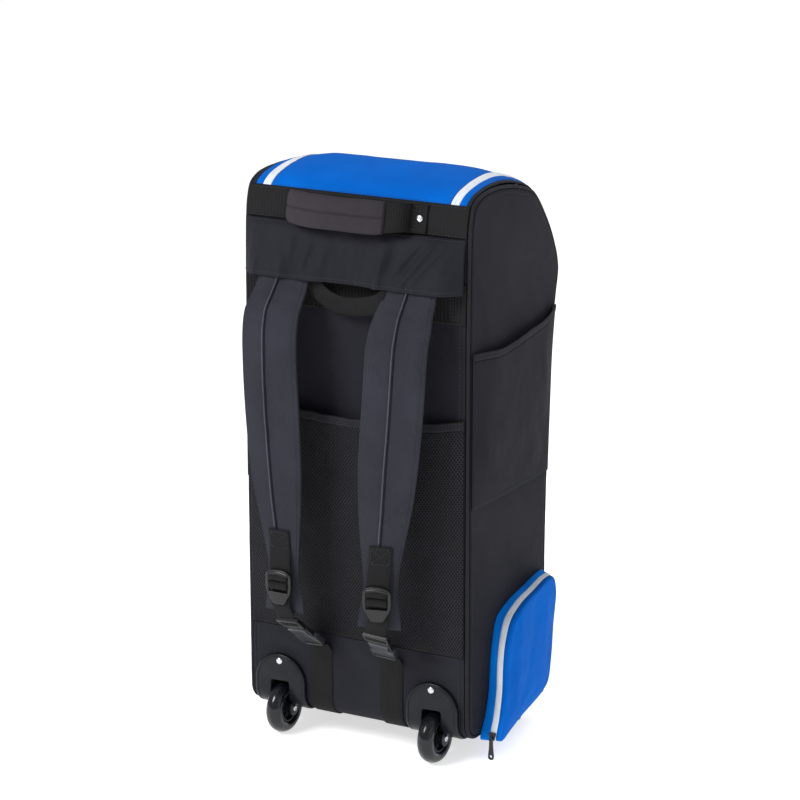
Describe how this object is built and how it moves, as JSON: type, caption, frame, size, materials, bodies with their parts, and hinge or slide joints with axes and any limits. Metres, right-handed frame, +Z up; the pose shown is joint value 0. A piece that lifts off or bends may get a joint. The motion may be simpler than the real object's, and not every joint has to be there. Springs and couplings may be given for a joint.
{
  "type": "cricket kit bag",
  "caption": "Upright wheeled kit bag with padded backpack straps, haul handle, zipped crown lid, mesh and slip pockets and a zipped side pocket.",
  "frame": {"origin": "on the floor, under the middle of the bag's bounding box", "axes": "+Z up, +Y from the shoulder straps to the front of the bag, +X to the right as one faces the straps"},
  "size_m": [0.4176, 0.3706, 0.8374],
  "materials": {
    "black_cloth": "black woven polyester, matt",
    "blue_cloth": "bright blue woven polyester",
    "zip_tape": "white zip tape",
    "webbing": "black ribbed webbing and binding",
    "strap_padding": "dark grey padded cloth",
    "handle_cloth": "warm dark grey padded cloth",
    "mesh_cloth": "black mesh",
    "buckle_plastic": "black moulded plastic",
    "housing_plastic": "dark blue-grey moulded plastic",
    "wheel_rubber": "dark grey glossy wheel rubber",
    "steel": "bright plated steel"
  },
  "bodies": {
    "bag": {"back_panel": "black_cloth", "lower_panel": "black_cloth", "base_panel": "black_cloth", "front_hem": "black_cloth", "lid_panel": "blue_cloth", "lid_zip_left": "zip_tape", "lid_strip_left": "blue_cloth", "gusset_left": "black_cloth", "lid_zip_right": "zip_tape", "lid_strip_right": "blue_cloth", "gusset_right": "black_cloth", "side_panel_left": "black_cloth", "piping_left": "webbing", "side_panel_right": "black_cloth", "piping_right": "webbing", "top_band": "webbing", "strap_band": "webbing", "yoke_flap": "black_cloth", "mesh_pocket": "mesh_cloth", "mesh_hem": "webbing", "haul_webbing": "webbing", "haul_sleeve": "handle_cloth", "haul_rivet_left": "steel", "haul_rivet_right": "steel", "grab_loop": "webbing", "shoulder_strap_left": "strap_padding", "ladder_lock_left": "buckle_plastic", "side_clip_left": "buckle_plastic", "strap_tab_left": "webbing", "adjuster_webbing_left": "webbing", "anchor_webbing_left": "webbing", "shoulder_strap_right": "strap_padding", "ladder_lock_right": "buckle_plastic", "side_clip_right": "buckle_plastic", "strap_tab_right": "webbing", "adjuster_webbing_right": "webbing", "anchor_webbing_right": "webbing", "slip_pocket_left": "black_cloth", "slip_hem_left": "webbing", "slip_pocket_right": "black_cloth", "slip_hem_right": "webbing", "boot_gusset": "blue_cloth", "boot_zip": "zip_tape", "boot_face": "blue_cloth", "zip_slider": "buckle_plastic", "zip_puller": "buckle_plastic", "wheel_housing_left": "housing_plastic", "housing_rivet_left": "steel", "axle_left": "steel", "wheel_housing_right": "housing_plastic", "housing_rivet_right": "steel", "axle_right": "steel", "foot_left": "buckle_plastic", "foot_right": "buckle_plastic"},
    "wheel_left": {"wheel_hub_left": "housing_plastic", "wheel_tyre_left": "wheel_rubber"},
    "wheel_right": {"wheel_hub_right": "housing_plastic", "wheel_tyre_right": "wheel_rubber"}
  },
  "joints": [
    {"name": "wheel_left_spin", "type": "hinge", "parent": "bag", "child": "wheel_left", "pos_m": [-0.13371, -0.09102, 0.038], "axis": [1, 0, 0], "continuous": true},
    {"name": "wheel_right_spin", "type": "hinge", "parent": "bag", "child": "wheel_right", "pos_m": [0.11729, -0.09102, 0.038], "axis": [1, 0, 0], "continuous": true}
  ]
}
